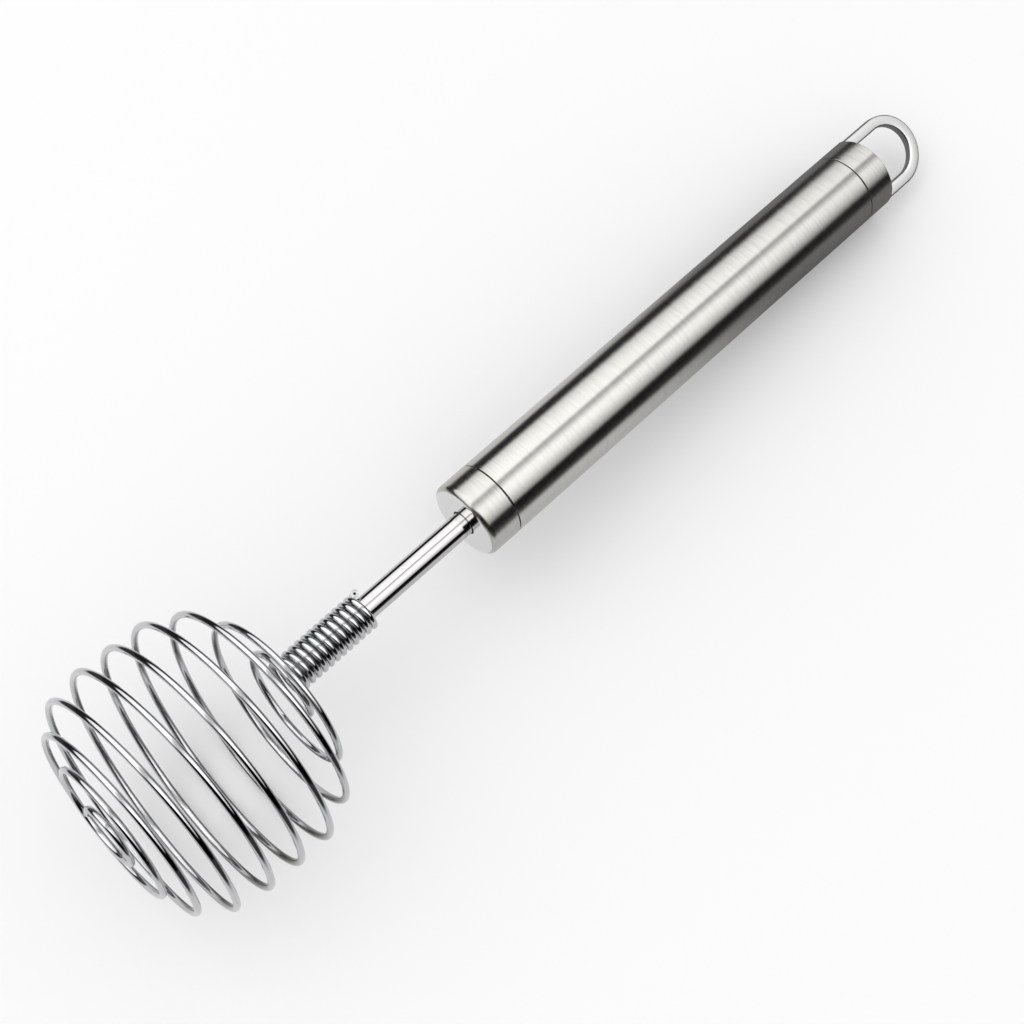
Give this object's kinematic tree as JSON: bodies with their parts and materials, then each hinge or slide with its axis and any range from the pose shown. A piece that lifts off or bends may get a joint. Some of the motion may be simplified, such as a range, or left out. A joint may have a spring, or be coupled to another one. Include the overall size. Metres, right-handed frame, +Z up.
{
  "type": "spiral whisk",
  "caption": "Kitchen whisk with a balloon of one spiral steel wire, a polished stem and a brushed steel tube handle with a hang loop.",
  "frame": {"origin": "centre of the bounding box, on the floor that the whisk lies on", "axes": "+Z up, +X from the balloon towards the hang loop, +Y to the left of someone looking along +X"},
  "size_m": [0.2738, 0.0628, 0.064],
  "materials": {
    "polished_cap": "turned and polished end face, finely brushed rim",
    "brushed_handle": "satin, finely brushed round the handle",
    "satin_loop": "satin with bright rounded edges",
    "polished_wire": "mirror polished stainless steel"
  },
  "bodies": {
    "root": {"front_cap": "polished_cap", "handle_tube": "brushed_handle", "rear_cap": "brushed_handle", "hang_loop": "satin_loop", "stem_rod": "polished_wire", "whisk_wire": "polished_wire"}
  },
  "joints": []
}
